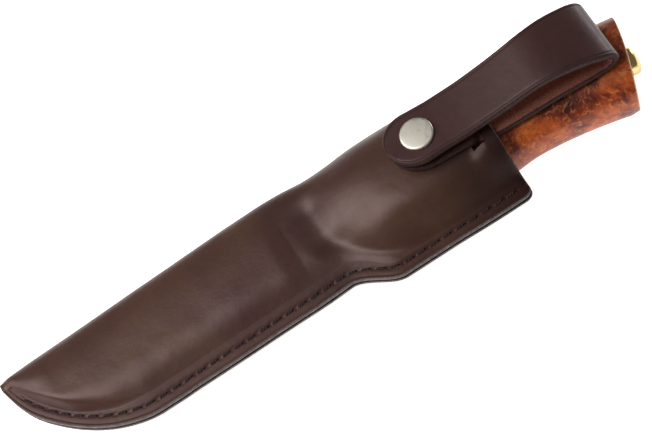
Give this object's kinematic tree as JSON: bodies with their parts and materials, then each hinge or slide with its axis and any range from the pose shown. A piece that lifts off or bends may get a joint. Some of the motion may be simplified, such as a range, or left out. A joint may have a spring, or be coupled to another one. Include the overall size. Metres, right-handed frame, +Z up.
{
  "type": "whittling knife with belt sheath",
  "caption": "Fixed-blade whittling knife with a curly-wood handle in a folded, stitched leather sheath whose snap-closed strap makes a belt loop.",
  "frame": {"origin": "on the ground, in the middle of the pressed-flat spot under the handle pocket", "axes": "+X along the knife from the sheath's tip toward the butt, +Y toward the folded side of the sheath, +Z up; the knife itself leans 3.6 degrees, tip down"},
  "size_m": [0.2531, 0.0557, 0.0474],
  "materials": {
    "sheath_leather": "smooth waxed dark brown",
    "welt_leather": "cut edge, grey brown",
    "strap_leather": "smooth outside, rough reddish inside",
    "liner_plastic": "moulded black",
    "thread": "waxed dark brown thread",
    "nickel": "satin nickel plate",
    "spring_wire": "plain wire",
    "blade_steel": "ground and lightly polished",
    "brass": "polished",
    "curly_wood": "oiled, glossy, red brown"
  },
  "bodies": {
    "sheath": {"sheath_shell": "sheath_leather", "welt": "welt_leather", "blade_liner": "liner_plastic", "seam_stitches": "thread", "strap_anchor": "strap_leather", "strap_fold": "strap_leather", "snap_post": "nickel", "snap_stud": "nickel"},
    "knife": {"blade": "blade_steel", "bolster": "brass", "handle": "curly_wood", "pommel_nut": "brass"},
    "flap": {"strap_flap": "strap_leather", "snap_cap": "nickel", "snap_socket": "nickel", "snap_spring": "spring_wire"}
  },
  "joints": [
    {"name": "knife_draw", "type": "slide", "parent": "sheath", "child": "knife", "axis": [0.998, 0, 0.0628], "range_m": [0, 0.2]},
    {"name": "flap_open", "type": "hinge", "parent": "sheath", "child": "flap", "pos_m": [0.07862, -0.001, 0.04015], "axis": [0, 1, 0], "range_deg": [0, 110], "deforming": ["strap_fold"]}
  ]
}
